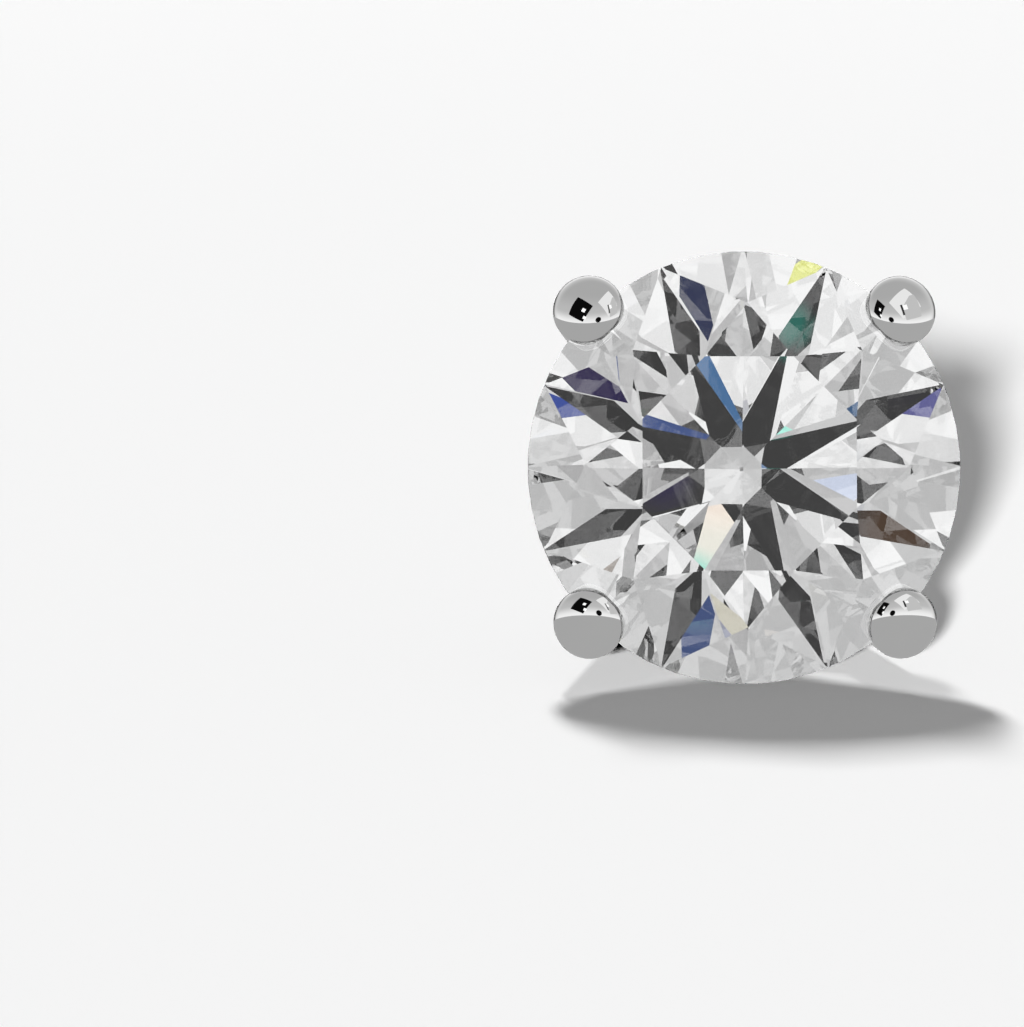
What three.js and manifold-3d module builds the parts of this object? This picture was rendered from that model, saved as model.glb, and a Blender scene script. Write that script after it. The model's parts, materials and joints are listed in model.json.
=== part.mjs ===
// A stud earring: a round brilliant-cut stone held by four thick round prongs, on a plain straight post.
// It is drawn face up along its own axis, then laid down as it rests on a table: on the lowest flat of its
// girdle and on the tip of its post. Millimetres, +Z up, the face towards -Y.

import * as THREE from 'three';
import { mergeVertices } from 'three/addons/utils/BufferGeometryUtils.js';
import Module from 'manifold-3d';

// Stone
const stoneDiameter = 6.5;
const tableDiameter = 3.44; // corner to corner of the octagon
const girdleThickness = 0.19;
const girdleFlats = 48; // a multiple of 16, so that every facet ends on a corner or a middle of a flat
const culetDiameter = 0.06;
const crownAngle = 34.5; // degrees up from the girdle plane
const pavilionAngle = 40.8;
const starLength = 0.5; // share of the way from the table's edge to the girdle
const lowerHalfLength = 0.78; // share of the way from the girdle to the culet

// Prongs
const prongCount = 4;
const prongTurn = 45; // degrees from the picture's right to the first prong
const prongLean = 15; // degrees, inwards to the back
const tipRadius = 0.536;
const tipDome = 0.25; // height of the low dome that ends a prong
const tipOutset = 0.072; // from the girdle's circle out to the middle of the dome's rim
const tipRise = 0.24; // from the girdle's middle up to the middle of the dome's rim
const footRadius = 0.4; // of a prong at its back end

// Base, rail and post
const crossWireRadius = 0.35; // of the wires from the prongs' feet to the pad
const railRadius = 0.26; // of the gallery rail's wire
const railDrop = 1.75; // from the girdle's middle down to the rail
const railInset = 0.22; // from the prongs' axes in to the rail's
const culetClearance = 0.3; // from the culet to the pad behind it
const padRadius = 1.05;
const padThickness = 0.95;
const padStep = 0.15; // how far the pad stands out behind the prongs' feet
const postRadius = 0.42;
const postLength = 9.6; // from the pad's back to the tip
const postEdgeRadius = 0.16; // rounding of the tip's edge

const seatClearance = 0.03; // between the stone and the metal that holds it

// Fineness of the round shapes
const prongSides = 28;
const wireSides = 16;
const railSteps = 56;
const postSides = 28;
const domeSteps = 8; // from a prong's side to the middle of its end
const edgeSteps = 4; // round the edge of the post's tip

const degree = Math.PI / 180;
const stoneRadius = stoneDiameter / 2;
const halfGirdle = girdleThickness / 2;
const wasteSize = 4 * stoneDiameter; // a block of waste this wide clears the whole stone
const weldDistance = 1e-5; // vertices closer than this are one

const library = await Module();
library.setup();

// Solids for joining and cutting

function solidOf(geometry) {
  const bare = geometry.clone();
  bare.deleteAttribute('normal');
  bare.deleteAttribute('uv');
  const merged = mergeVertices(bare, weldDistance);
  const mesh = new library.Mesh({
    numProp: 3,
    vertProperties: new Float32Array(merged.attributes.position.array),
    triVerts: new Uint32Array(merged.index.array),
  });
  return new library.Manifold(mesh);
}

function geometryOf(solid) {
  const mesh = solid.getMesh();
  const geometry = new THREE.BufferGeometry();
  geometry.setAttribute('position', new THREE.BufferAttribute(new Float32Array(mesh.vertProperties), 3));
  geometry.setIndex(new THREE.BufferAttribute(new Uint32Array(mesh.triVerts), 1));
  geometry.computeVertexNormals();
  return geometry;
}

// Stone

// Each row is one tier of facets: how many, the azimuth of the first, the slope of their planes and one point
// (radius, height) that a plane passes through at its own azimuth. Slopes are negative on the pavilion.
function facetTiers() {
  const eighth = 22.5; // half the turn from one main facet to the next
  const sixteenth = eighth / 2;
  const upperEdge = halfGirdle;
  const lowerEdge = -halfGirdle;
  const alongEdge = Math.cos(eighth * degree); // between a main facet's azimuth and the edge it shares
  const alongHalf = Math.cos(sixteenth * degree);

  // A half facet holds a chord of the girdle's circle and a tip that lies inwards from one end of that chord.
  function halfSlope(tip, tipHeight) {
    return tipHeight / ((stoneRadius - tip) * alongHalf);
  }

  const tableCorner = tableDiameter / 2;
  const tableEdge = tableCorner * alongEdge;
  const crownSlope = Math.tan(crownAngle * degree);
  const tableHeight = upperEdge + (stoneRadius - tableCorner) * crownSlope;

  // The stars end where they meet the edge that two bezels share.
  const starTip = tableEdge + starLength * (stoneRadius - tableEdge);
  const starTipHeight = upperEdge + (stoneRadius - starTip * alongEdge) * crownSlope;
  const starSlope = (tableHeight - starTipHeight) / (starTip - tableEdge);
  const upperSlope = halfSlope(starTip, starTipHeight - upperEdge);

  // The lower halves end on the edge that two pavilion mains share.
  const pavilionSlope = Math.tan(pavilionAngle * degree);
  const lowerTip = stoneRadius * (1 - lowerHalfLength);
  const lowerTipDepth = (stoneRadius - lowerTip * alongEdge) * pavilionSlope;
  const lowerSlope = halfSlope(lowerTip, lowerTipDepth);
  const culetDepth = halfGirdle + (stoneRadius - culetDiameter / 2) * pavilionSlope;
  const chordRadius = stoneRadius * alongHalf;

  const bezels = { count: 8, turn: eighth, slope: crownSlope, radius: stoneRadius, height: upperEdge };
  const stars = { count: 8, turn: 0, slope: starSlope, radius: tableEdge, height: tableHeight };
  const uppers = { count: 16, turn: sixteenth, slope: upperSlope, radius: chordRadius, height: upperEdge };
  const mains = { count: 8, turn: eighth, slope: -pavilionSlope, radius: stoneRadius, height: lowerEdge };
  const lowers = { count: 16, turn: sixteenth, slope: -lowerSlope, radius: chordRadius, height: lowerEdge };
  return { tableHeight, culetDepth, facets: [bezels, stars, uppers, mains, lowers] };
}

const tiers = facetTiers();

// A stone of this cut with every face moved out by the growth: none for the stone, a clearance for its seat.
function cutStone(growth) {
  const halfFlat = Math.PI / girdleFlats;
  const blankRadius = (stoneRadius + growth) / Math.cos(halfFlat);
  const top = tiers.tableHeight + growth;
  const bottom = -tiers.culetDepth - growth;
  const blank = new THREE.CylinderGeometry(blankRadius, blankRadius, top - bottom, girdleFlats);
  blank.rotateX(90 * degree);
  blank.rotateZ(halfFlat); // brings a flat to the lowest place
  blank.translate(0, 0, (top + bottom) / 2);

  let stone = solidOf(blank);
  for (const tier of tiers.facets) {
    for (let index = 0; index < tier.count; index += 1) {
      const azimuth = tier.turn + (index * 360) / tier.count;
      stone = stone.subtract(wasteBeyond(tier, azimuth, growth));
    }
  }
  return stone;
}

// The block of waste that lies outside one facet's plane.
function wasteBeyond(tier, azimuth, growth) {
  const side = Math.sign(tier.slope);
  const block = new THREE.BoxGeometry(wasteSize, wasteSize, wasteSize);
  block.translate(0, 0, side * (wasteSize / 2 + growth));
  block.rotateY(Math.atan(tier.slope));
  block.translate(tier.radius, 0, tier.height);
  block.rotateZ(azimuth * degree);
  return solidOf(block);
}

// Setting, drawn with the girdle's middle at height 0

const tipCircle = stoneRadius + tipOutset;
const leanSlope = Math.tan(prongLean * degree);
const padFront = -(tiers.culetDepth + culetClearance);
const padBack = padFront - padThickness;
const footHeight = padBack + padStep + footRadius;
const postTip = padBack - postLength;

function prongAxisRadius(height) {
  return tipCircle - (tipRise - height) * leanSlope;
}

// The points of a quarter of an ellipse, from its side to its top (a positive rise) or bottom.
function quarterArc(centreRadius, centreHeight, reach, rise, steps) {
  const points = [];
  for (let step = 0; step <= steps; step += 1) {
    const angle = (90 * degree * step) / steps;
    points.push(new THREE.Vector2(
      centreRadius + reach * Math.cos(angle),
      centreHeight + rise * Math.sin(angle),
    ));
  }
  return points;
}

// A tapered prong with a round foot and a low-domed tip, leaning in the XZ plane.
function prong() {
  const foot = new THREE.Vector2(prongAxisRadius(footHeight), footHeight);
  const tip = new THREE.Vector2(tipCircle, tipRise);
  const length = foot.distanceTo(tip);
  const profile = [
    ...quarterArc(0, 0, footRadius, -footRadius, domeSteps).reverse(),
    ...quarterArc(0, length, tipRadius, tipDome, domeSteps),
  ];
  profile[0].x = 0;
  profile[profile.length - 1].x = 0;
  const turned = new THREE.LatheGeometry(profile, prongSides);
  turned.rotateX(90 * degree);
  turned.rotateY(prongLean * degree);
  turned.translate(foot.x, 0, foot.y);
  return solidOf(turned);
}

// The wire from a prong's foot to the pad, where it ends inside the metal.
function crossWire() {
  const length = prongAxisRadius(footHeight);
  const wire = new THREE.CylinderGeometry(crossWireRadius, crossWireRadius, length, wireSides);
  wire.rotateZ(90 * degree);
  wire.translate(length / 2, 0, footHeight);
  return solidOf(wire);
}

function galleryRail() {
  const railCircle = prongAxisRadius(-railDrop) - railInset;
  const rail = new THREE.TorusGeometry(railCircle, railRadius, wireSides, railSteps);
  rail.translate(0, 0, -railDrop);
  return solidOf(rail);
}

// The pad and the post are one turned piece: a flat back round a straight post with a rounded tip.
function padAndPost() {
  const flatRadius = postRadius - postEdgeRadius;
  const profile = [
    new THREE.Vector2(0, postTip),
    ...quarterArc(flatRadius, postTip + postEdgeRadius, postEdgeRadius, -postEdgeRadius, edgeSteps).reverse(),
    new THREE.Vector2(postRadius, padBack),
    new THREE.Vector2(padRadius, padBack),
    new THREE.Vector2(padRadius, padFront),
    new THREE.Vector2(0, padFront),
  ];
  const turned = new THREE.LatheGeometry(profile, postSides);
  turned.rotateX(90 * degree);
  return solidOf(turned);
}

function settingSolid() {
  const prongAndWire = prong().add(crossWire());
  let metal = galleryRail().add(padAndPost());
  for (let index = 0; index < prongCount; index += 1) {
    metal = metal.add(prongAndWire.rotate([0, 0, prongTurn + (index * 360) / prongCount]));
  }
  return metal.subtract(cutStone(seatClearance));
}

// The pieces, laid down to rest

function makeMesh(name, solid, material) {
  const mesh = new THREE.Mesh(geometryOf(solid), new THREE.MeshStandardMaterial(material));
  mesh.name = name;
  return mesh;
}

const stone = makeMesh('stone', cutStone(0), { color: 0xf2f5f7, roughness: 0.02, metalness: 0 });
const setting = makeMesh('setting', settingSolid(), { color: 0xc9cbce, roughness: 0.08, metalness: 1 });

const stud = new THREE.Group();
stud.add(stone, setting);

// The face tips up until the girdle's lower edge and the post's tip touch the same level.
const restTilt = Math.atan((stoneRadius - postRadius) / (-postTip - postEdgeRadius - halfGirdle));
stud.rotation.x = 90 * degree - restTilt;

const group = new THREE.Group();
group.add(stud);
group.updateMatrixWorld(true);
const box = new THREE.Box3().setFromObject(group, true);
const centre = box.getCenter(new THREE.Vector3());
stud.position.set(-centre.x, -centre.y, -box.min.z);

export default group;
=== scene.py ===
# Stud earring lying on a table: a round brilliant-cut stone in a white-gold setting of four round prongs.
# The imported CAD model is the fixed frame; this file gives it its finish, its light and its camera.

import json
import math
import bpy
from mathutils import Matrix, Vector


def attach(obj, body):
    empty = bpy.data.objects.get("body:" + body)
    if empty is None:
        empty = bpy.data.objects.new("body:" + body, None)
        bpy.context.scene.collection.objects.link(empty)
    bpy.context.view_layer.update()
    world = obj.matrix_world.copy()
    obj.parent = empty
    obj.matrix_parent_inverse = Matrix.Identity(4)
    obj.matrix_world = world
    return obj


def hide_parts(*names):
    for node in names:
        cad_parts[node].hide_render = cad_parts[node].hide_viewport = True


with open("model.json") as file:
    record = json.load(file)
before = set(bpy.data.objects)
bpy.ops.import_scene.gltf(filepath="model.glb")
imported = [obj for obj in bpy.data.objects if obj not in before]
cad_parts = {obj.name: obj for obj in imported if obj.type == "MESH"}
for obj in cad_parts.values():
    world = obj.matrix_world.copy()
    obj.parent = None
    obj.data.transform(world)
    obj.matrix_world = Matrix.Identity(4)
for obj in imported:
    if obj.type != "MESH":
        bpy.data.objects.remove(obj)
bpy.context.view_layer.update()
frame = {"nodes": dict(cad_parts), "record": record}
print("stage: frame loaded")

# The stud's own axes, from the mount on the post's tip: acrossAxis to the right of the face, upAxis up the
# face, faceAxis straight out of it. Shapes are made in millimetres on these axes and then laid down.

mm = 0.001
sameLevel = 0.00001  # millimetres; points no further apart in height than this are level
girdleFromPostTip = 13.7244  # along the post, from its tip to the middle of the girdle

mounts = {mount["name"]: mount for mount in frame["record"]["mounts"]}
backAxis = Vector(mounts["post_tip"]["axis"]).normalized()
girdleCentre = Vector(mounts["post_tip"]["pos_m"]) - backAxis * girdleFromPostTip * mm
acrossAxis = Vector((1, 0, 0))
faceAxis = -backAxis
upAxis = faceAxis.cross(acrossAxis)
studPlace = Matrix.Translation(girdleCentre) @ Matrix((acrossAxis, upAxis, faceAxis)).transposed().to_4x4()


# Small helpers for modelling

def deselectAll():
    bpy.ops.object.select_all(action="DESELECT")


def makeActive(piece):
    deselectAll()
    piece.select_set(True)
    bpy.context.view_layer.objects.active = piece


def inEditMode(piece, action):
    makeActive(piece)
    bpy.ops.object.mode_set(mode="EDIT")
    action()
    bpy.ops.object.mode_set(mode="OBJECT")


def applyPlace(piece):
    makeActive(piece)
    bpy.ops.object.transform_apply(location=True, rotation=True, scale=True)


def startSelecting(kind):
    bpy.ops.object.mode_set(mode="EDIT")
    bpy.ops.mesh.select_mode(type=kind)
    bpy.ops.mesh.select_all(action="DESELECT")
    bpy.ops.object.mode_set(mode="OBJECT")


def selectVertices(piece, test):
    startSelecting("VERT")
    for vertex in piece.data.vertices:
        vertex.select = test(vertex.co)
    bpy.ops.object.mode_set(mode="EDIT")


def selectEdges(piece, test):
    startSelecting("EDGE")
    for edge in piece.data.edges:
        edge.select = test([piece.data.vertices[index].co.z for index in edge.vertices])
    bpy.ops.object.mode_set(mode="EDIT")


def selectFaces(piece, test):
    startSelecting("FACE")
    for face in piece.data.polygons:
        face.select = test(face)
    bpy.ops.object.mode_set(mode="EDIT")


def joinInto(piece, other, operation):
    makeActive(piece)
    cutter = piece.modifiers.new(operation, "BOOLEAN")
    cutter.operation = operation
    cutter.solver = "EXACT"
    cutter.object = other
    bpy.ops.object.modifier_apply(modifier=cutter.name)
    bpy.data.objects.remove(other)


# Setting, the same form as its CAD node but far finer: prongs, gallery rail, cross wires, pad and post

setting = {
    "prongCount": 4,
    "prongTurn": 45,  # degrees from the picture's right to the first prong
    "prongLean": 15,  # degrees, inwards to the back
    "prongSides": 96,
    "tipCircle": 3.322,  # from the stud's axis to the middle of a tip's rim
    "tipRise": 0.24,  # from the girdle's middle up to the middle of a tip's rim
    "tipRadius": 0.536,
    "tipDome": 0.25,
    "domeRings": 48,
    "footRadius": 0.4,
    "footHeight": -3.5744,
    "footSteps": 12,
    "wireRadius": 0.35,
    "wireSides": 48,
    "railRadius": 0.26,
    "railHeight": -1.75,
    "railInset": 0.22,
    "railSteps": 160,
    "padRadius": 1.05,
    "padFront": -3.1744,
    "padBack": -4.1244,
    "padBevel": 0.09,
    "padBevelSteps": 6,
    "postRadius": 0.42,
    "postTip": -13.7244,
    "postBevel": 0.16,
    "postBevelSteps": 8,
    "turnedSides": 96,
    "seatGrowth": 1.0092,  # how much larger than the stone its seat is cut
    "seatWeld": 0.0001,
    "smoothAngle": 35,  # degrees; sharper edges stay sharp
}


def prongAxisRadius(height):
    values = setting
    return values["tipCircle"] - (values["tipRise"] - height) * math.tan(math.radians(values["prongLean"]))


def makeProng():
    values = setting
    footRadius = prongAxisRadius(values["footHeight"])
    length = math.hypot(values["tipCircle"] - footRadius, values["tipRise"] - values["footHeight"])
    flatness = values["tipDome"] / values["tipRadius"]
    deselectAll()
    bpy.ops.mesh.primitive_uv_sphere_add(
        segments=values["prongSides"],
        ring_count=values["domeRings"],
        radius=values["tipRadius"],
        location=(0, 0, 0),
    )
    piece = bpy.context.object
    piece.name = "prong"

    def shape():
        bpy.ops.mesh.select_all(action="SELECT")
        bpy.ops.mesh.bisect(plane_co=(0, 0, 0), plane_no=(0, 0, 1), clear_inner=True, use_fill=False)
        bpy.ops.mesh.select_all(action="SELECT")
        bpy.ops.transform.resize(value=(1, 1, flatness), center_override=(0, 0, 0))
        bpy.ops.transform.translate(value=(0, 0, length))

    inEditMode(piece, shape)
    makeActive(piece)
    selectVertices(piece, lambda place: abs(place.z - length) < sameLevel)
    shrink = values["footRadius"] / values["tipRadius"]
    bpy.ops.mesh.extrude_region_move(TRANSFORM_OT_translate={"value": (0, 0, -length)})
    bpy.ops.transform.resize(value=(shrink, shrink, 1), center_override=(0, 0, 0))
    for step in range(1, values["footSteps"]):
        before = math.radians(90 * (step - 1) / values["footSteps"])
        after = math.radians(90 * step / values["footSteps"])
        drop = values["footRadius"] * (math.sin(before) - math.sin(after))
        bpy.ops.mesh.extrude_region_move(TRANSFORM_OT_translate={"value": (0, 0, drop)})
        ratio = math.cos(after) / math.cos(before)
        bpy.ops.transform.resize(value=(ratio, ratio, 1), center_override=(0, 0, 0))
    bpy.ops.mesh.edge_face_add()
    bpy.ops.mesh.select_all(action="SELECT")
    bpy.ops.mesh.normals_make_consistent(inside=False)
    bpy.ops.object.mode_set(mode="OBJECT")
    piece.rotation_euler = (0, math.radians(values["prongLean"]), 0)
    piece.location = (footRadius, 0, values["footHeight"])
    applyPlace(piece)
    return piece


def makeWire():
    values = setting
    length = prongAxisRadius(values["footHeight"])
    deselectAll()
    bpy.ops.mesh.primitive_cylinder_add(
        vertices=values["wireSides"],
        radius=values["wireRadius"],
        depth=length,
        location=(length / 2, 0, values["footHeight"]),
        rotation=(0, math.radians(90), 0),
    )
    piece = bpy.context.object
    applyPlace(piece)
    return piece


def makeRail():
    values = setting
    deselectAll()
    bpy.ops.mesh.primitive_torus_add(
        major_segments=values["railSteps"],
        minor_segments=values["wireSides"],
        major_radius=prongAxisRadius(values["railHeight"]) - values["railInset"],
        minor_radius=values["railRadius"],
        location=(0, 0, values["railHeight"]),
    )
    piece = bpy.context.object
    applyPlace(piece)
    return piece


def makePadAndPost():
    values = setting
    flatRadius = values["padRadius"] - values["padBevel"]
    ringWidth = (flatRadius - values["postRadius"]) * math.cos(math.pi / values["turnedSides"])
    postDrop = values["postTip"] - values["padBack"]
    deselectAll()
    bpy.ops.mesh.primitive_cylinder_add(
        vertices=values["turnedSides"],
        radius=values["padRadius"],
        depth=values["padFront"] - values["padBack"],
        location=(0, 0, (values["padFront"] + values["padBack"]) / 2),
    )
    piece = bpy.context.object
    applyPlace(piece)
    makeActive(piece)

    selectEdges(piece, lambda heights: abs(heights[0] - heights[1]) < sameLevel)
    bpy.ops.mesh.bevel(offset=values["padBevel"], segments=values["padBevelSteps"], affect="EDGES")

    # The pad's back face is the lowest one; the post grows out of its middle.
    selectFaces(piece, lambda face: abs(face.center.z - values["padBack"]) < sameLevel)
    bpy.ops.mesh.inset(thickness=ringWidth)
    bpy.ops.mesh.extrude_region_move(TRANSFORM_OT_translate={"value": (0, 0, postDrop)})
    selectEdges(piece, lambda heights: max(abs(height - values["postTip"]) for height in heights) < sameLevel)
    bpy.ops.mesh.bevel(offset=values["postBevel"], segments=values["postBevelSteps"], affect="EDGES")
    bpy.ops.object.mode_set(mode="OBJECT")
    return piece


def makeSeat():
    source = frame["nodes"]["stone"]
    seat = source.copy()
    seat.data = source.data.copy()
    bpy.context.scene.collection.objects.link(seat)
    seat.parent = None
    seat.matrix_world = Matrix.Identity(4)
    seat.data.transform(Matrix.Scale(1 / mm, 4) @ studPlace.inverted())
    seat.data.transform(Matrix.Scale(setting["seatGrowth"], 4))

    def weld():
        bpy.ops.mesh.select_all(action="SELECT")
        bpy.ops.mesh.remove_doubles(threshold=setting["seatWeld"])

    inEditMode(seat, weld)
    return seat


def makeSetting():
    values = setting
    metal = makeRail()
    joinInto(metal, makePadAndPost(), "UNION")
    prong = makeProng()
    joinInto(prong, makeWire(), "UNION")
    for index in range(values["prongCount"]):
        copied = prong.copy()
        copied.data = prong.data.copy()
        bpy.context.scene.collection.objects.link(copied)
        copied.rotation_euler = (0, 0, math.radians(values["prongTurn"] + index * 360 / values["prongCount"]))
        applyPlace(copied)
        joinInto(metal, copied, "UNION")
    bpy.data.objects.remove(prong)
    joinInto(metal, makeSeat(), "DIFFERENCE")
    metal.name = "setting_polished"
    metal.data.name = "setting_polished"
    metal.data.transform(studPlace @ Matrix.Scale(mm, 4))
    makeActive(metal)
    bpy.ops.object.shade_smooth_by_angle(angle=math.radians(values["smoothAngle"]))
    return metal


# Materials

stoneLook = {
    "index": 2.417,
    "paleTint": (1.0, 1.0, 1.0),
    "deepTint": (0.992, 0.996, 0.998),
    "tintScale": 450,
    "tintDetail": 3,
    "girdleHalfWidth": 0.095,  # the ground band between crown and pavilion
    "girdleInner": 3.2,
    "girdleRoughness": 0.04,
    "facetRoughness": 0.0,
}

metalLook = {
    "brightColour": (0.86, 0.86, 0.855),
    "dullColour": (0.80, 0.80, 0.80),
    "colourScale": 900,
    "colourDetail": 4,
    "polish": (0.012, 0.03),
    "satin": (0.10, 0.17),  # inside the basket, where the wheel does not reach
    "satinRadius": (1.6, 2.5),
    "satinHeight": (-3.3, -2.6),
    "noiseSpan": (0.3, 0.7),  # the part of a noise's range that is spread over a whole effect
    "grainScale": 9000,
    "grainDetail": 6,
    "grainStrength": 0.04,
    "grainDepth": 0.01,
}


def newMaterial(name):
    material = bpy.data.materials.new(name)
    material.use_nodes = True
    material.node_tree.nodes.clear()
    return material, material.node_tree.nodes, material.node_tree.links


def mathNode(nodes, links, operation, first, second=None, third=None):
    node = nodes.new("ShaderNodeMath")
    node.operation = operation
    for index, value in enumerate((first, second, third)):
        if value is None:
            continue
        if isinstance(value, (int, float)):
            node.inputs[index].default_value = value
        else:
            links.new(value, node.inputs[index])
    return node.outputs["Value"]


def dotNode(nodes, links, source, direction):
    node = nodes.new("ShaderNodeVectorMath")
    node.operation = "DOT_PRODUCT"
    node.inputs[1].default_value = direction
    links.new(source, node.inputs[0])
    return node.outputs["Value"]


def rangeNode(nodes, links, value, fromValues, toValues, smooth=True):
    node = nodes.new("ShaderNodeMapRange")
    node.interpolation_type = "SMOOTHSTEP" if smooth else "LINEAR"
    node.inputs["From Min"].default_value, node.inputs["From Max"].default_value = fromValues
    node.inputs["To Min"].default_value, node.inputs["To Max"].default_value = toValues
    links.new(value, node.inputs["Value"])
    return node.outputs["Result"]


def mixNode(nodes, links, share, first, second):
    node = nodes.new("ShaderNodeMix")
    node.data_type = "RGBA"
    shareSocket, firstSocket, secondSocket = (node.inputs[index] for index in (0, 6, 7))
    for socket, value in ((shareSocket, share), (firstSocket, first), (secondSocket, second)):
        if isinstance(value, (int, float)):
            socket.default_value = (value, value, value, 1)
        elif isinstance(value, tuple):
            socket.default_value = (*value, 1)
        else:
            links.new(value, socket)
    return node.outputs[2]


def studCoordinates(nodes, links):
    place = nodes.new("ShaderNodeTexCoord")
    place.name = "place"
    fromGirdle = nodes.new("ShaderNodeVectorMath")
    fromGirdle.operation = "SUBTRACT"
    fromGirdle.inputs[1].default_value = girdleCentre
    links.new(place.outputs["Object"], fromGirdle.inputs[0])
    fromGirdle = fromGirdle.outputs["Vector"]
    return [dotNode(nodes, links, fromGirdle, axis) for axis in (acrossAxis, upAxis, faceAxis)]


def lengthNode(nodes, links, across, along):
    squares = mathNode(nodes, links, "ADD", mathNode(nodes, links, "MULTIPLY", across, across),
                       mathNode(nodes, links, "MULTIPLY", along, along))
    return mathNode(nodes, links, "SQRT", squares)


def makeStoneMaterial():
    values = stoneLook
    material, nodes, links = newMaterial("cut_diamond")
    acrossStud, upStud, alongStud = studCoordinates(nodes, links)
    clouds = nodes.new("ShaderNodeTexNoise")
    clouds.inputs["Scale"].default_value = values["tintScale"]
    clouds.inputs["Detail"].default_value = values["tintDetail"]
    links.new(nodes["place"].outputs["Object"], clouds.inputs["Vector"])
    tint = mixNode(nodes, links, clouds.outputs["Fac"], values["paleTint"], values["deepTint"])
    inBand = mathNode(nodes, links, "LESS_THAN", mathNode(nodes, links, "ABSOLUTE", alongStud),
                      values["girdleHalfWidth"] * mm)
    atEdge = mathNode(nodes, links, "GREATER_THAN", lengthNode(nodes, links, acrossStud, upStud),
                      values["girdleInner"] * mm)
    girdle = mathNode(nodes, links, "MULTIPLY", inBand, atEdge)
    roughness = rangeNode(nodes, links, girdle, (0, 1), (values["facetRoughness"], values["girdleRoughness"]))
    shader = nodes.new("ShaderNodeBsdfPrincipled")
    shader.inputs["Transmission Weight"].default_value = 1
    shader.inputs["IOR"].default_value = values["index"]
    links.new(tint, shader.inputs["Base Color"])
    links.new(roughness, shader.inputs["Roughness"])
    output = nodes.new("ShaderNodeOutputMaterial")
    links.new(shader.outputs["BSDF"], output.inputs["Surface"])
    return material


def makeMetalMaterial():
    values = metalLook
    material, nodes, links = newMaterial("polished_white_gold")
    acrossStud, upStud, alongStud = studCoordinates(nodes, links)
    radius = lengthNode(nodes, links, acrossStud, upStud)
    inner = rangeNode(nodes, links, radius, [value * mm for value in values["satinRadius"]], (1, 0))
    behind = rangeNode(nodes, links, alongStud, [value * mm for value in values["satinHeight"]], (0, 1))
    satin = mathNode(nodes, links, "MULTIPLY", inner, behind)

    clouds = nodes.new("ShaderNodeTexNoise")
    clouds.inputs["Scale"].default_value = values["colourScale"]
    clouds.inputs["Detail"].default_value = values["colourDetail"]
    links.new(nodes["place"].outputs["Object"], clouds.inputs["Vector"])
    grain = nodes.new("ShaderNodeTexNoise")
    grain.inputs["Scale"].default_value = values["grainScale"]
    grain.inputs["Detail"].default_value = values["grainDetail"]
    links.new(nodes["place"].outputs["Object"], grain.inputs["Vector"])

    colour = mixNode(nodes, links, clouds.outputs["Fac"], values["brightColour"], values["dullColour"])
    polished = rangeNode(nodes, links, clouds.outputs["Fac"], values["noiseSpan"], values["polish"])
    dulled = rangeNode(nodes, links, grain.outputs["Fac"], values["noiseSpan"], values["satin"])
    span = mathNode(nodes, links, "SUBTRACT", dulled, polished)
    roughness = mathNode(nodes, links, "MULTIPLY_ADD", span, satin, polished)
    bump = nodes.new("ShaderNodeBump")
    bump.inputs["Distance"].default_value = values["grainDepth"] * mm
    links.new(mathNode(nodes, links, "MULTIPLY", satin, values["grainStrength"]), bump.inputs["Strength"])
    links.new(grain.outputs["Fac"], bump.inputs["Height"])

    shader = nodes.new("ShaderNodeBsdfPrincipled")
    shader.inputs["Metallic"].default_value = 1
    links.new(colour, shader.inputs["Base Color"])
    links.new(roughness, shader.inputs["Roughness"])
    links.new(bump.outputs["Normal"], shader.inputs["Normal"])
    output = nodes.new("ShaderNodeOutputMaterial")
    links.new(shader.outputs["BSDF"], output.inputs["Surface"])
    return material


stonePiece = frame["nodes"]["stone"]
stonePiece.data.materials.clear()
stonePiece.data.materials.append(makeStoneMaterial())
print("stage: stone finished")

settingPiece = makeSetting()
settingPiece.data.materials.clear()
settingPiece.data.materials.append(makeMetalMaterial())
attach(settingPiece, "root")
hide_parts("setting")
print("stage: setting finished,", len(settingPiece.data.polygons), "faces")

# Camera, at the photograph's angle to the stud

cameraSetup = {
    "lens": 170.6,
    "sensor": 36,
    "distance": 73,  # from the middle of the girdle, along the view
    "toRight": 0.02576,  # how far the view leans, as shares of the face axis
    "toUp": 0.04462,
    "girdleRight": 0.04782,  # where the girdle's middle lies in the picture, as shares of the distance
    "girdleUp": 0.00948,
    "clip": (0.001, 10),
}


def makeCamera():
    values = cameraSetup
    forward = (-faceAxis + acrossAxis * values["toRight"] + upAxis * values["toUp"]).normalized()
    right = (acrossAxis - forward * acrossAxis.dot(forward)).normalized()
    up = right.cross(forward)
    offset = right * values["girdleRight"] + up * values["girdleUp"] + forward
    place = girdleCentre - offset * values["distance"] * mm
    deselectAll()
    bpy.ops.object.camera_add()
    camera = bpy.context.object
    camera.name = "camera"
    camera.matrix_world = Matrix.Translation(place) @ Matrix((right, up, -forward)).transposed().to_4x4()
    camera.data.lens = values["lens"]
    camera.data.sensor_width = values["sensor"]
    camera.data.sensor_fit = "HORIZONTAL"
    camera.data.clip_start, camera.data.clip_end = values["clip"]
    bpy.context.scene.camera = camera
    return camera, forward


camera, viewDirection = makeCamera()
print("stage: camera placed at", [round(value / mm, 2) for value in camera.location])

# Floor and lights. The lamps light only the floor; the stone shows the sky, the metal the dome and the cards.

floorSetup = {
    "colour": (0.93, 0.93, 0.93),
    "size": 4.0,
    "drop": 0.00001,  # below the stud, so that the two never share a plane
}

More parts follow.
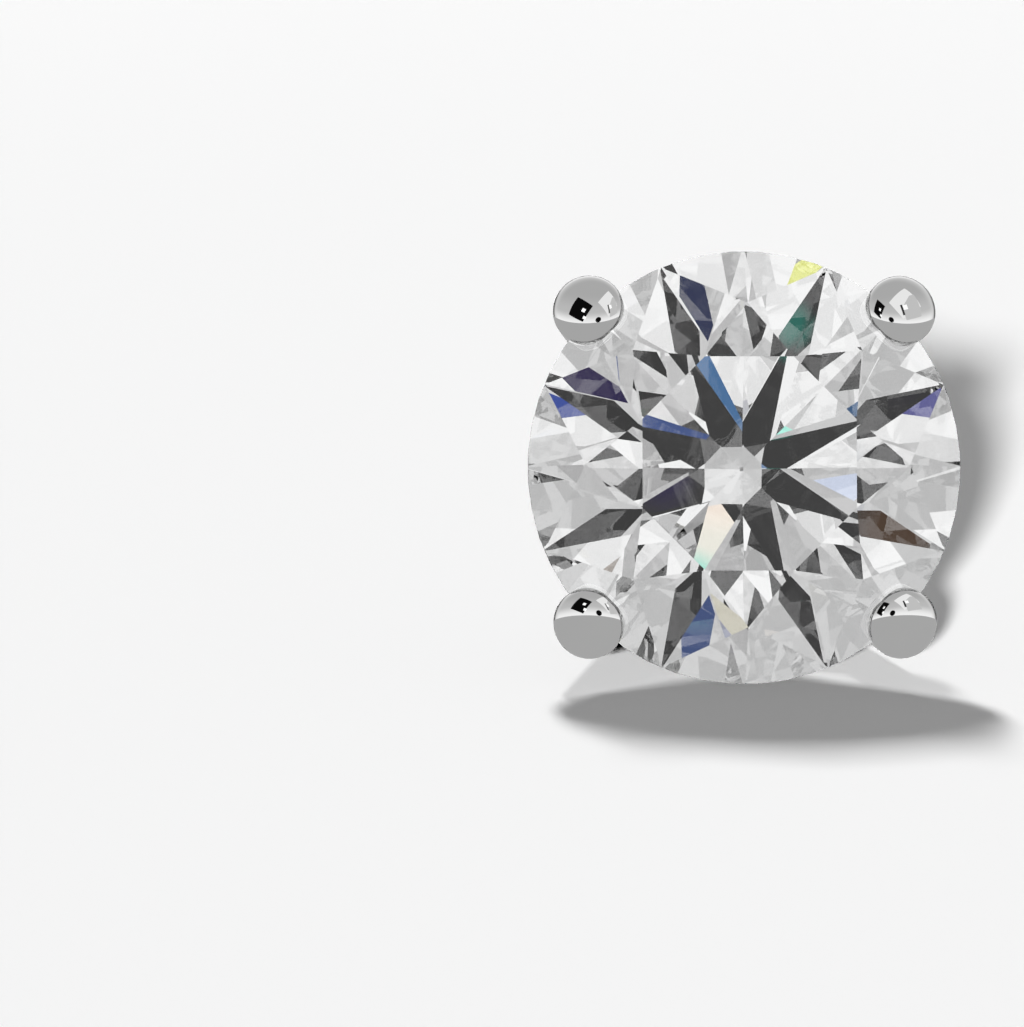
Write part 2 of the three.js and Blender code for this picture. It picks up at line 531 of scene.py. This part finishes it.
# The key is a tall strip behind the stud and casts the shadow in front. Under the post its shadow adds to the
# fill's and would be black, so the metal blocks only a share of it.
keySetup = {
    "from": (-0.9, 7.2, 7.9),
    "distance": 6.0,
    "width": 0.42,
    "height": 1.26,
    "power": 332,
    "metalShare": 0.45,
}

# The low fill casts the shadow at the right; the negative fill takes light from the whole floor and so
# deepens both shadows.
sunSetup = {
    "fill": {"from": (-0.158, -1.0, 0.158), "strength": 13.9, "softness": 2.6, "shadow": True},
    "negative_fill": {"from": (0, 0, 1), "strength": -1.38, "softness": 1.0, "shadow": False},
}
sunDistance = 0.2  # only where the lamp is drawn

# The sky, in shares to the right and up of the view: what the floor gets of it, and what the stone shows
skySetup = {
    "forFloor": 0.06,
    "aboveForStone": 1.146,
    "belowForStone": 0.71,
    "horizonForStone": -0.018,
    "wideForStone": 0.70,  # far to the sides of the view
    "wideFrom": 0.85,
    "wideTo": 0.60,
    "behindForStone": 0.09,
    "spotAt": (-0.037, 0.014),  # the dark round the lens
    "spotRadius": 0.25,
    "spotWidth": 1.35,
    "spotBlend": 0.01,
    "spotLevel": 0.058,
    "glintCore": 0.3,  # the part of a glint's size that has its full colour
}

# Coloured glints, for the colours that a brilliant splits from the light: where they stand in the sky
# (right, up), their size and colour. Later ones cover earlier ones.
glintSetup = {
    "upperBlue": {"at": (-0.291, 0.163), "size": 0.032, "colour": (0.09, 0.22, 0.45)},
    "leftBlue": {"at": (-0.397, -0.082), "size": 0.040, "colour": (0.08, 0.13, 0.34)},
    "outerBlue": {"at": (-0.363, 0.020), "size": 0.022, "colour": (0.07, 0.11, 0.40)},
    "duskBlue": {"at": (-0.244, 0.143), "size": 0.022, "colour": (0.045, 0.055, 0.12)},
    "lowerBlue": {"at": (-0.298, -0.130), "size": 0.022, "colour": (0.08, 0.12, 0.28)},
    "indigo": {"at": (-0.288, -0.053), "size": 0.015, "colour": (0.04, 0.03, 0.10)},
    "violet": {"at": (0.300, -0.036), "size": 0.020, "colour": (0.17, 0.17, 0.42)},
    "lilac": {"at": (0.365, -0.153), "size": 0.020, "colour": (0.86, 0.94, 1.14)},
    "green": {"at": (0.101, 0.1065), "size": 0.005, "colour": (0.04, 0.20, 0.16)},
    "pale": {"at": (-0.053, -0.262), "size": 0.026, "colour": (1.22, 1.20, 1.08)},
    "mint": {"at": (-0.044, -0.247), "size": 0.014, "colour": (0.40, 1.10, 0.92)},
    "peach": {"at": (-0.060, -0.274), "size": 0.016, "colour": (1.30, 1.14, 1.00)},
    "brown": {"at": (0.156, 0.074), "size": 0.010, "colour": (0.10, 0.062, 0.04)},
    "yellow": {"at": (-0.892, 0.315), "size": 0.035, "colour": (1.25, 1.30, 0.45)},
    "cream": {"at": (-0.803, 0.205), "size": 0.030, "colour": (0.84, 0.81, 0.68)},
    "amber": {"at": (-0.52, 0.68), "size": 0.030, "colour": (0.30, 0.17, 0.07)},
}

# The dome round the metal: the floor's grey below, a bright band over the horizon that fades upwards, a paler
# rim, and a back that rises from dark to bright
domeSetup = {
    "radius": 0.5,
    "subdivisions": 4,
    "floorLevel": 0.45,
    "horizonAt": -0.012,  # shares up of the view
    "bandLevel": 1.05,
    "middleLevel": 0.58,
    "middleAt": 0.34,
    "upperLevel": 0.47,
    "upperAt": 0.75,
    "rimLevel": 0.72,  # what the metal mirrors towards its outline, from behind
    "rimFrom": 0.15,
    "rimTo": -0.6,
    "backLevels": (0.12, 1.05),  # straight behind, from low to high
    "backRise": (0.25, 0.75),
    "backFrom": -0.3,
    "backTo": -0.75,
}

# What the metal mirrors in front: angles to the right of and above the view, and sizes across, in degrees;
# distances in metres. Where two cards overlap, the nearer one covers the other.
cardSetup = {
    "dark_card": {"at": (-29.5, 22), "size": (29, 31), "turn": -25, "level": 0.004, "distance": 0.4},
    "upper_lamp": {"at": (-22.5, 21.5), "size": (5.5, 5.5), "turn": -25, "level": 1.3, "distance": 0.392},
    "lower_lamp": {"at": (-20.5, 9.5), "size": (5.0, 5.0), "turn": -25, "level": 1.3, "distance": 0.392},
    "soft_glow": {"at": (33, 33), "size": (40, 36), "turn": 30, "level": 0.95, "distance": 0.408},
    "soft_box": {"at": (42, 25), "size": (30, 34), "turn": 10, "level": 0.62, "distance": 0.4},
    "soft_box_edge": {"at": (26, 22), "size": (3.5, 16), "turn": 10, "level": 0.05, "distance": 0.392},
    "soft_box_lamp": {"at": (31, 26), "size": (7, 7), "turn": 10, "level": 1.2, "distance": 0.388},
    "lens_dot": {"at": (3.4, 4.6), "size": (10.5, 10.5), "turn": 0, "level": 0.004, "distance": 0.4},
}
discSides = 48

metalOnly = bpy.data.collections.new("metal_only")  # the dome and the cards light nothing but the metal
metalOnly.objects.link(settingPiece)
stoneOnly = bpy.data.collections.new("stone_only")
stoneOnly.objects.link(stonePiece)

viewRight = camera.matrix_world.to_3x3().col[0].normalized()
viewUp = camera.matrix_world.to_3x3().col[1].normalized()


def notFromFloor(nodes, links, level):
    paths = nodes.new("ShaderNodeLightPath")
    direct = mathNode(nodes, links, "LESS_THAN", paths.outputs["Diffuse Depth"], 1)
    return mathNode(nodes, links, "MULTIPLY", direct, level)


def emissionMaterial(name, strength):
    material, nodes, links = newMaterial(name)
    output = nodes.new("ShaderNodeOutputMaterial")
    glow = nodes.new("ShaderNodeEmission")
    links.new(notFromFloor(nodes, links, strength), glow.inputs["Strength"])
    links.new(glow.outputs["Emission"], output.inputs["Surface"])
    return material


def makePlane(name, size, depth):
    deselectAll()
    bpy.ops.mesh.primitive_plane_add(size=size, location=(0, 0, depth))
    plane = bpy.context.object
    plane.name = name
    applyPlace(plane)
    return plane


def makeDisc(name):
    deselectAll()
    bpy.ops.mesh.primitive_circle_add(vertices=discSides, radius=0.5, fill_type="NGON")
    disc = bpy.context.object
    disc.name = name
    return disc


def makeFloor():
    values = floorSetup
    floor = makePlane("floor", values["size"], -values["drop"])
    material, nodes, links = newMaterial("pale_floor")
    output = nodes.new("ShaderNodeOutputMaterial")
    shader = nodes.new("ShaderNodeBsdfDiffuse")
    shader.inputs["Color"].default_value = (*values["colour"], 1)
    links.new(shader.outputs["BSDF"], output.inputs["Surface"])
    floor.data.materials.append(material)
    floor.visible_glossy = False
    floor.visible_transmission = False


def onlyInMetal(thing):
    thing.visible_camera = False
    thing.visible_diffuse = False
    thing.visible_transmission = False
    thing.visible_shadow = False
    thing.light_linking.receiver_collection = metalOnly
    thing.data.materials[0].cycles.emission_sampling = "NONE"  # seen in reflections, never used as a lamp


def makeDome():
    values = domeSetup
    deselectAll()
    bpy.ops.mesh.primitive_ico_sphere_add(
        subdivisions=values["subdivisions"],
        radius=values["radius"],
        location=girdleCentre,
    )
    dome = bpy.context.object
    dome.name = "sky_in_metal"
    applyPlace(dome)
    material, nodes, links = newMaterial("sky_glow")
    place = nodes.new("ShaderNodeTexCoord")
    centred = nodes.new("ShaderNodeVectorMath")
    centred.operation = "SUBTRACT"
    centred.inputs[1].default_value = girdleCentre
    links.new(place.outputs["Object"], centred.inputs[0])
    direction = nodes.new("ShaderNodeVectorMath")
    direction.operation = "NORMALIZE"
    links.new(centred.outputs["Vector"], direction.inputs[0])
    direction = direction.outputs["Vector"]
    up = dotNode(nodes, links, direction, viewUp)
    front = dotNode(nodes, links, direction, -viewDirection)
    lowerFade = rangeNode(nodes, links, up, (values["horizonAt"], values["middleAt"]),
                          (values["bandLevel"], values["middleLevel"]))
    upperFade = rangeNode(nodes, links, up, (values["middleAt"], values["upperAt"]),
                          (0, values["middleLevel"] - values["upperLevel"]))
    level = mathNode(nodes, links, "SUBTRACT", lowerFade, upperFade)
    rim = rangeNode(nodes, links, front, (values["rimTo"], values["rimFrom"]), (1, 0))
    level = mixNode(nodes, links, rim, level, values["rimLevel"])
    back = rangeNode(nodes, links, front, (values["backTo"], values["backFrom"]), (1, 0))
    backLevel = rangeNode(nodes, links, up, values["backRise"], values["backLevels"])
    level = mixNode(nodes, links, back, level, backLevel)
    above = mathNode(nodes, links, "GREATER_THAN", up, values["horizonAt"])
    level = mixNode(nodes, links, above, values["floorLevel"], level)
    glow = nodes.new("ShaderNodeEmission")
    links.new(notFromFloor(nodes, links, level), glow.inputs["Strength"])
    output = nodes.new("ShaderNodeOutputMaterial")
    links.new(glow.outputs["Emission"], output.inputs["Surface"])
    dome.data.materials.append(material)
    onlyInMetal(dome)


def addLamp(name, kind, source, distance):
    direction = Vector(source).normalized()
    deselectAll()
    bpy.ops.object.light_add(type=kind, location=direction * distance)
    lamp = bpy.context.object
    lamp.name = name
    lamp.rotation_euler = direction.to_track_quat("Z", "Y").to_euler()
    lamp.visible_glossy = False
    lamp.visible_transmission = False
    return lamp


def makeKey(name, share):
    values = keySetup
    key = addLamp(name, "AREA", values["from"], values["distance"])
    key.visible_camera = False
    key.data.shape = "RECTANGLE"
    key.data.size = values["width"]
    key.data.size_y = values["height"]
    key.data.energy = values["power"] * share
    return key


def makeLamps():
    makeKey("key_light", keySetup["metalShare"])
    pastMetal = makeKey("key_light_past_metal", 1 - keySetup["metalShare"])
    pastMetal.light_linking.blocker_collection = stoneOnly
    for name, values in sunSetup.items():
        sun = addLamp(name + "_light", "SUN", values["from"], sunDistance)
        sun.data.energy = values["strength"]
        sun.data.angle = math.radians(values["softness"])
        sun.data.use_shadow = values["shadow"]


def makeCards():
    for name, values in cardSetup.items():
        right, up = (math.radians(angle) for angle in values["at"])
        direction = (viewRight * math.sin(right) * math.cos(up) + viewUp * math.sin(up)
                     - viewDirection * math.cos(right) * math.cos(up))
        distance = values["distance"]
        card = makeDisc(name) if name == "lens_dot" else makePlane(name, 1, 0)
        width, height = (2 * distance * math.tan(math.radians(size) / 2) for size in values["size"])
        sideways = viewUp.cross(direction).normalized()
        upwards = direction.cross(sideways)
        turn = Matrix.Rotation(math.radians(values["turn"]), 4, direction)
        card.matrix_world = (Matrix.Translation(girdleCentre + direction * distance) @ turn
                             @ Matrix((sideways, upwards, direction)).transposed().to_4x4()
                             @ Matrix.Diagonal((width, height, 1, 1)))
        applyPlace(card)
        card.data.materials.append(emissionMaterial(name, values["level"]))
        onlyInMetal(card)


def makeSky():
    values = skySetup
    world = bpy.data.worlds.new("studio")
    bpy.context.scene.world = world
    world.use_nodes = True
    nodes = world.node_tree.nodes
    links = world.node_tree.links
    nodes.clear()
    direction = nodes.new("ShaderNodeTexCoord").outputs["Generated"]
    paths = nodes.new("ShaderNodeLightPath")
    right = dotNode(nodes, links, direction, viewRight)
    up = dotNode(nodes, links, direction, viewUp)
    front = dotNode(nodes, links, direction, -viewDirection)

    def awayFrom(place, width=1.0):
        across = mathNode(nodes, links, "DIVIDE", mathNode(nodes, links, "SUBTRACT", right, place[0]), width)
        along = mathNode(nodes, links, "SUBTRACT", up, place[1])
        return lengthNode(nodes, links, across, along)

    inFront = mathNode(nodes, links, "GREATER_THAN", front, 0)
    above = mathNode(nodes, links, "GREATER_THAN", up, values["horizonForStone"])
    stone = mixNode(nodes, links, above, values["belowForStone"], values["aboveForStone"])
    wide = rangeNode(nodes, links, front, (values["wideTo"], values["wideFrom"]), (1, 0), smooth=False)
    stone = mixNode(nodes, links, wide, stone, values["wideForStone"])
    spotEdge = (values["spotRadius"] - values["spotBlend"], values["spotRadius"] + values["spotBlend"])
    spot = rangeNode(nodes, links, awayFrom(values["spotAt"], values["spotWidth"]), spotEdge, (1, 0))
    stone = mixNode(nodes, links, spot, stone, values["spotLevel"])
    stone = mixNode(nodes, links, inFront, values["behindForStone"], stone)
    for glint in glintSetup.values():
        fade = (values["glintCore"] * glint["size"], glint["size"])
        inGlint = rangeNode(nodes, links, awayFrom(glint["at"]), fade, (1, 0))
        inGlint = mathNode(nodes, links, "MULTIPLY", inGlint, inFront)
        stone = mixNode(nodes, links, inGlint, stone, glint["colour"])

    forStone = notFromFloor(nodes, links, paths.outputs["Is Transmission Ray"])
    shared = mixNode(nodes, links, forStone, values["forFloor"], stone)
    background = nodes.new("ShaderNodeBackground")
    links.new(shared, background.inputs["Color"])
    output = nodes.new("ShaderNodeOutputWorld")
    links.new(background.outputs["Background"], output.inputs["Surface"])


makeFloor()
makeLamps()
makeDome()
makeCards()
makeSky()
print("stage: floor and lights in place")

scene = bpy.context.scene
scene.view_settings.view_transform = "Standard"
scene.view_settings.look = "None"
scene.cycles.max_bounces = 40
scene.cycles.glossy_bounces = 30
scene.cycles.transmission_bounces = 40
scene.cycles.diffuse_bounces = 3
scene.cycles.caustics_reflective = True
scene.cycles.caustics_refractive = True
scene.cycles.blur_glossy = 0
scene.cycles.use_denoising = True
